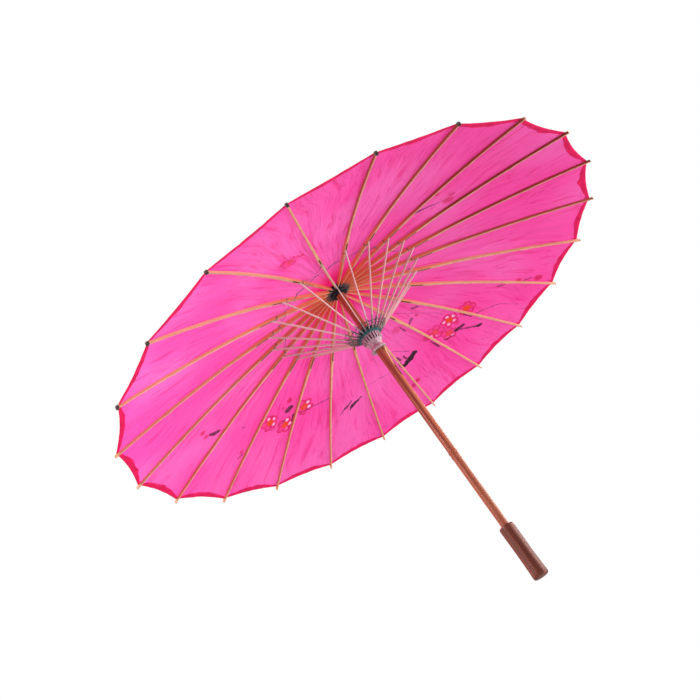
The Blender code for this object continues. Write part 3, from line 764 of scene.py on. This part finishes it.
def make_rib(index):
    """A split bamboo rib with a growth joint, slotted for its stretcher."""
    rib = RIBS[index]
    node_at = 0.320 + 0.007 * rng.uniform(-1, 1)
    lean = 0.0006 * rng.uniform(-1, 1)
    half = along(RIB_WIDTH, PIVOT_R) / 2
    sections = []
    for share in (0.97, 0.8, 0.5):
        rise = RIB_EYE * (1 - share * share) ** 0.5
        sections.append([(-share * RIB_EYE, y, z) for y, z in slat_section(half, rise, -rise, 0.0001)])
    radii = np.unique(np.concatenate([np.linspace(*step) for step in RIB_STEPS]))
    for radius in radii:
        swell = 2.0 * np.exp(-((radius - node_at) / 0.0045) ** 2)
        swell += 0.8 * np.exp(-((radius - 0.118) / 0.004) ** 2)
        half = along(RIB_WIDTH, radius) / 2 + 0.00025 * swell
        depth = along(RIB_DEPTH, radius) + 0.0004 * swell
        top = rib_top(radius) - PIVOT_Z
        if radius == radii[0]:
            top, depth = RIB_EYE, 2 * RIB_EYE
        side = 0.0
        if radius > LEAN_FROM:
            side = lean * sin(pi * (radius - PIVOT_R) / (RIB_TIP - PIVOT_R))
            side *= min(1.0, (radius - LEAN_FROM) / 0.05)
        sections.append([(radius - PIVOT_R, y + side, z)
                         for y, z in slat_section(half, top, top - depth, min(0.0004, half * 0.3))])
    made = loft(f"rib_stick_{rib['number']}", sections, bamboo(index))
    slot_in, slot_out, slot_half = RIB_SLOT
    cut_boxes(made, [((slot_in - PIVOT_R, -slot_half, PIN_Z - PIVOT_Z - 0.012),
                      (slot_out - PIVOT_R, slot_half, PIN_Z - PIVOT_Z + 0.0019), 0.0)])
    made.matrix_world = Matrix.Translation(rib["pivot"]) @ Matrix.Rotation(rib["azimuth"], 4, "Z")
    attach(made, f"rib_{rib['number']}", "rib_bamboo", f"rib_{rib['number']}")
    if index in KNOTTED:
        make_dark_tip(rib)


KNOT_AT, KNOT_STEP = 0.4168, 0.0010           # radius of a knot's first loop and from one to the next
KNOT_OVER = (0.4175, 0.4200, 0.4203)          # radii at which a knot's strands go round the rib's end


def make_dark_tip(rib):
    """The knot of dark thread that ties the cloth's corner to some of the ribs; its dark also stands in for
    the shade on these ribs' ends.
    """
    strands = []
    for k in range(4):
        radius = KNOT_AT + KNOT_STEP * k
        top, half = rib_top(radius) + 0.0004, along(RIB_WIDTH, radius) / 2 + 0.0003
        low = top - along(RIB_DEPTH, radius) - 0.0006
        loop = [polar(radius, rib["azimuth"], z) + rib["tangent"] * y
                for y, z in ((-half, top), (half, top), (half, low), (-half, low), (-half, top))]
        strands.append((loop, 0.00062))
    top, low = rib_top(RIB_TIP) + 0.0003, rib_top(RIB_TIP) - along(RIB_DEPTH, RIB_TIP) - 0.0003
    start, bend, end = KNOT_OVER
    for k in range(4):
        aside = rib["tangent"] * (k - 1.5) * 0.0008
        loop = [polar(radius, rib["azimuth"], z) + aside for radius, z in (
            (start, top), (bend, top), (end, (top + low) / 2), (bend, low), (start, low))]
        strands.append((loop, 0.0005))
    knot = tubes(f"tip_knot_{rib['number']}", strands, GREY, 6)
    attach(knot, f"rib_{rib['number']}", "black_thread")


SLAT_HALF_Y, SLAT_HALF_Z = 0.00073, 0.0015    # half a stretcher's width and height
SLAT_ENDS = (0.0006, 0.0011, 0.0014)          # steps of its rounded ends beyond the pins


def make_stretcher(index):
    """A thin slat on edge from the joint pin to the runner."""
    rib = RIBS[index]
    run = Vector((RUNNER_R - PIN_R, 0.0, RUNNER_PIN_Z - PIN_Z))
    total = run.length
    stations = [*[-step for step in reversed(SLAT_ENDS)], *np.linspace(0.0, total, 26),
                *[total + step for step in SLAT_ENDS]]
    sections = []
    for x in stations:
        over = max(-x, x - total, 0.0)
        half_z = SLAT_HALF_Z * (1 - (over / SLAT_HALF_Z) ** 2) ** 0.5
        half_y = SLAT_HALF_Y * (1.0 if over else 1 - 0.05 * np.cos(x * 90 + index))
        corner = min(0.0002, half_z * 0.4)
        sections.append([(x, y, z) for y, z in slat_section(half_y, half_z, -half_z, corner)])
    made = loft(f"stretcher_slat_{rib['number']}", sections, SLATS[index % 2])
    tilt = atan2(-run.z, run.x)
    made.matrix_world = (Matrix.Translation(rib["pin"]) @ Matrix.Rotation(rib["azimuth"], 4, "Z")
                         @ Matrix.Rotation(tilt, 4, "Y"))
    body = f"stretcher_{rib['number']}"
    attach(made, body, "stretcher_bamboo", body)


CATCH_AZIMUTH = radians(33)
SHAFT_RINGS = ((0.2160, 0.0008, 0.0020), (0.2090, 0.0005, 0.0030), (0.2125, -0.0003, 0.0009))


def shaft_radius(z):
    """A slow taper and a slight wave, with the growth joint's rings, each (height, swell, reach)."""
    radius = 0.0062 + 0.0007 * (z - 0.085) / 0.445 + 0.00004 * sin(z * 60)
    for height, swell, reach in SHAFT_RINGS:
        radius += swell * np.exp(-((z - height) / reach) ** 2)
    return min(radius, 0.0073 if z < 0.23 else 0.00695)


def make_shaft():
    """A bamboo stick with one growth joint and the catch's slot."""
    profile = [(0.0, 0.5518), (0.0044, 0.5518), (0.0050, 0.5512), (0.0050, 0.5296), (0.0069, 0.5294)]
    heights = np.unique(np.concatenate([np.linspace(0.52, 0.086, 60), np.linspace(0.224, 0.204, 21)]))[::-1]
    profile += [(shaft_radius(z), z) for z in heights] + [(0.0061, 0.0265), (0.0, 0.0265)]
    made = lathe("shaft_stick", profile, SHAFT_WOOD, 64)
    cut_boxes(made, [((0.0008, -0.0017, 0.3600), (0.010, 0.0017, 0.4230), CATCH_AZIMUTH)])
    attach(made, "frame", "shaft_bamboo", "shaft")


def make_handle():
    """The turned grip, a little waisted, with eased ends."""
    profile = [(0.0066, 0.0848), (0.0100, 0.0848), (0.0108, 0.0844), (0.0113, 0.0836), (0.0115, 0.0820)]
    profile += [(0.0111 + 0.00055 * (2 * (z - 0.043) / 0.078) ** 2, z) for z in np.linspace(0.078, 0.008, 15)]
    profile += [(0.01175, 0.0050), (0.0116, 0.0026), (0.0110, 0.0010), (0.0098, 0.0003), (0.0, 0.0002)]
    made = lathe("handle_grip_wood", [(0.0, 0.0262), (0.0066, 0.0262), *profile], GRIP_WOOD)
    attach(made, "frame", "handle_wood", "handle")


def make_cap():
    """The lacquered finial over the crown."""
    profile = [(0.0, 0.5679), (0.0018, 0.5675), (0.0034, 0.5660), (0.0039, 0.5645), (0.0038, 0.5628),
               (0.0046, 0.5608), (0.0070, 0.5590), (0.0100, 0.5568), (0.0132, 0.5542), (0.0162, 0.5514),
               (0.0186, 0.5484), (0.0201, 0.5452), (0.0208, 0.5424), (0.0208, 0.5416), (0.0200, 0.5412),
               (0.0145, 0.5430), (0.0145, 0.5455), (0.0056, 0.5455), (0.0056, 0.5520), (0.0, 0.5522)]
    made = lathe("crown_finial", profile, CAP_DARK)
    attach(made, "frame", "cap_wood", "crown_cap")


def make_runner():
    """The sliding ring: slotted head, waist and flange."""
    profile = [(0.00745, 0.4469), (0.0150, 0.4469), (0.0161, 0.4464), (0.0164, 0.4454), (0.0164, 0.4352),
               (0.0161, 0.4338), (0.0150, 0.4318), (0.0132, 0.4290), (0.0116, 0.4262), (0.0104, 0.4240),
               (0.0099, 0.4226), (0.0098, 0.4212), (0.0103, 0.4202), (0.0116, 0.4194), (0.0126, 0.4186),
               (0.01295, 0.4176), (0.01295, 0.4163), (0.0124, 0.4153), (0.00745, 0.4152)]
    made = lathe("runner_wood", profile, TURNED, 128)
    cut_boxes(made, [((0.0100, -0.0010, 0.4304), (0.025, 0.0010, 0.4520), rib["azimuth"]) for rib in RIBS])
    attach(made, "runner", "turned_wood", "runner")


WINDINGS = (  # rings, first radius and height, each step out and up, weave, each step of phase, thread radius
    (5, 0.0169, 0.4412, 0.0006, 0.0004, 0.00035, 2.1, 0.00034),
    (4, 0.0171, 0.4437, 0.0004, 0.0008, 0.0003, 1.7, 0.00045),
    (6, 0.0150, 0.4478, 0.0007, 0.00045, 0.0002, 1.3, 0.00045),
)


def ring(radius, z, weave=0.0, phase=0.0, steps=220):
    """Points of a closed ring that goes up and down once for each stretcher."""
    return [polar(radius, 2 * pi * k / steps, z + weave * sin(COUNT * 2 * pi * k / steps + phase))
            for k in range(steps + 1)]


def make_runner_thread():
    """Teal thread wound under and over the stretchers' ends, close round the runner's head."""
    strands = [(ring(0.0090, 0.4478, steps=90), 0.0006)]
    for rings, radius, z, out, up, weave, phase, thick in WINDINGS:
        strands += [(ring(radius + out * k, z + up * k, weave, k * phase), thick) for k in range(rings)]
    made = tubes("runner_winding", strands, TEAL, 5)
    attach(made, "runner", "teal_thread", "runner_thread")


def slat_point(index, away, up=0.0):
    """A point on a stretcher's middle line, at a distance from its inner end."""
    rib = RIBS[index % COUNT]
    inner = polar(RUNNER_R, rib["azimuth"], RUNNER_PIN_Z)
    way = (rib["pin"] - inner).normalized()
    across = Vector((-sin(rib["azimuth"]), cos(rib["azimuth"]), 0.0))
    return inner + way * away + way.cross(across) * -up


WRAP_POINTS = 8              # points to a turn of thread


def wrap(centres, across, half, rise):
    """Points of a winding round the centres, half wide to each side and rise up and down."""
    points = []
    for k, centre in enumerate(centres):
        a = 2 * pi * k / WRAP_POINTS
        points.append(centre + across * half * cos(a) + UP * rise * sin(a))
    return points


TIES = (  # distance from the inner end on a slat and on its neighbour, and how far up
    (0.006, 0.011, -0.0018), (0.011, 0.007, -0.0018), (0.012, 0.018, -0.0018), (0.017, 0.013, 0.0018),
    (0.008, 0.014, 0.0018), (0.018, 0.024, -0.0017), (0.023, 0.017, 0.0017),
)
LACING_TURNS = 12


def make_lacing(index):
    """Fine thread that ties a stretcher to its neighbours above the runner."""
    rib = RIBS[index]
    across, strands = rib["tangent"], []
    for other in (-1, 1):
        for start, end, up in TIES:
            end += 0.002 * rng.uniform(-1, 1)
            near, far = slat_point(index, start, up), slat_point(index + other, end, up)
            strands.append(([near, near.lerp(far, 0.25), near.lerp(far, 0.5)], 0.00030))
    reach = 0.022 + 0.003 * rng.uniform(-1, 1)
    steps = LACING_TURNS * WRAP_POINTS
    centres = [slat_point(index, 0.0055 + reach * k / steps) for k in range(steps + 1)]
    strands.append((wrap(centres, across, 0.00105, 0.00205), 0.00028))
    made = tubes(f"lacing_{rib['number']}", strands, DARK_TEAL, 5)
    body = f"stretcher_{rib['number']}"
    attach(made, body, "teal_thread")
    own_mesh(made)


def rib_line(index, radius, drop):
    """A point in a rib's middle plane, below its top edge."""
    rib = RIBS[index % COUNT]
    return polar(radius, rib["azimuth"], rib_top(radius) - drop)


ZIGZAG = (0.134, 0.108, 0.0062, 0.00022)   # radius on a rib and on the next, drop, thread radius
CROSSINGS = (ZIGZAG, (0.108, 0.134, 0.0070, 0.00020), (0.118, 0.114, 0.0066, 0.00015))
# Each lashing's inner radius, length along the rib, turns, and the depth and half width it goes round
LASHINGS = ((0.1245, 0.0020, 2, 0.0060, 0.0026), (0.0128, 0.0080, 10, 0.0056, 0.0011))
SAG = UP * -0.0008


def make_rib_threads(index):
    """Thread from rib to rib by the joints, the lashing there, and the dark wraps at the crown."""
    rib = RIBS[index]
    strands = []
    for other in (-1, 1):
        for crossing in CROSSINGS:
            start, end, drop, thick = crossing
            if crossing is ZIGZAG and (index + (other > 0)) % 2:
                start, end = end, start
            near, far = rib_line(index, start, drop), rib_line(index + other, end, drop)
            strands.append(([near, near.lerp(far, 0.25) + SAG * 0.7, near.lerp(far, 0.5) + SAG], thick))
    for start, run, turns, depth, half in LASHINGS:
        steps = turns * WRAP_POINTS
        centres = [rib_line(index, start + run * k / steps, depth / 2) for k in range(steps + 1)]
        strands.append((wrap(centres, rib["tangent"], half + 0.0003, depth / 2 + 0.0002), 0.0003))
    made = tubes(f"rib_thread_{rib['number']}", strands, BLACK, 5)
    attach(made, f"rib_{rib['number']}", "black_thread")
    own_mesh(made)


for index in range(COUNT):
    make_gore(index)
    make_rib(index)
    make_stretcher(index)
    make_lacing(index)
    make_rib_threads(index)
make_shaft()
make_handle()
make_cap()
make_runner()
make_runner_thread()
soften("catch_tongue", 0.0003, TONGUE)
soften("top_notch", 0.0002, NOTCH_WOOD)
dress("notch_thread", BLACK)

# -------- studio
WHITE = (1.0, 1.0, 1.0, 1.0)
FLOOR_HALF, FLOOR_Z = 9.0, -1.3
FLOOR_GLOW = 0.45            # light that only the camera sees, so that the floor comes out white
SKY_LIGHT, SKY_SEEN = 0.34, 0.66   # the backdrop's strength, and what the camera sees on top of it

floor_surface, tree, shader = new_material("pale_floor")
seen = tree.add("ShaderNodeLightPath").outputs["Is Camera Ray"]
tree.fill(shader, {"Base Color": (0.85, 0.85, 0.85, 1.0), "Roughness": 0.9, "Emission Color": WHITE,
                   "Emission Strength": tree.times(seen, FLOOR_GLOW)})
corners = [(x * FLOOR_HALF, y * FLOOR_HALF, FLOOR_Z) for x, y in ((-1, -1), (1, -1), (1, 1), (-1, 1))]
floor = new_object("floor", corners, [(0, 1, 2, 3)], floor_surface)

world = bpy.data.worlds.new("studio")
bpy.context.scene.world = world
world.use_nodes = True
tree = Tree(world.node_tree)
seen = tree.add("ShaderNodeLightPath").outputs["Is Camera Ray"]
tree.fill(world.node_tree.nodes["Background"], {
    "Color": WHITE, "Strength": tree.math("MULTIPLY_ADD", seen, SKY_SEEN, SKY_LIGHT)})


def area_light(name, place, target, size, power, tint=(1.0, 1.0, 1.0)):
    """A soft light, (width, height) in size, aimed at a point."""
    light = bpy.data.lights.new(name, "AREA")
    light.color = tint
    light.shape, light.energy = "RECTANGLE", power
    light.size, light.size_y = size
    made = add_object(name, light)
    made.location = place
    made.rotation_euler = (Vector(place) - Vector(target)).to_track_quat("Z", "Y").to_euler()


CENTRE = (0.0, 0.0, 0.45)
area_light("key_right", (0.95, 1.70, -0.65), CENTRE, (1.1, 1.1), 29.0)
area_light("side_panel", (0.66, 1.30, 0.38), (0.0, 0.0, 0.12), (1.2, 0.6), 15.0, (1.0, 0.93, 0.87))
area_light("back_right", (-0.85, 1.35, 0.80), CENTRE, (1.4, 0.7), 15.0)
area_light("warm_left", (-0.60, -1.10, 0.25), (0.0, 0.0, 0.15), (0.9, 0.6), 5.0, (1.0, 0.48, 0.42))
area_light("rim_left", (-0.20, -1.52, 1.70), CENTRE, (1.6, 1.6), 21.5)
area_light("left_glow", (0.20, -1.20, 0.85), (0.06, -0.36, 0.45), (0.5, 0.5), 9.0)
area_light("sky_panel", (-0.1, -0.9, 1.7), CENTRE, (1.0, 1.0), 5.0)

camera = add_object("camera", bpy.data.cameras.new("camera"))
camera.data.lens, camera.data.sensor_width = 59.4, 36.0
camera.matrix_world = Matrix(((0.2045, 0.5937, 0.7783, 1.34736), (0.8296, 0.3169, -0.4597, -0.83832),
                              (-0.5196, 0.7397, -0.4277, -0.30726), (0.0, 0.0, 0.0, 1.0)))
bpy.context.scene.camera = camera
bpy.context.scene.view_settings.view_transform = "Standard"
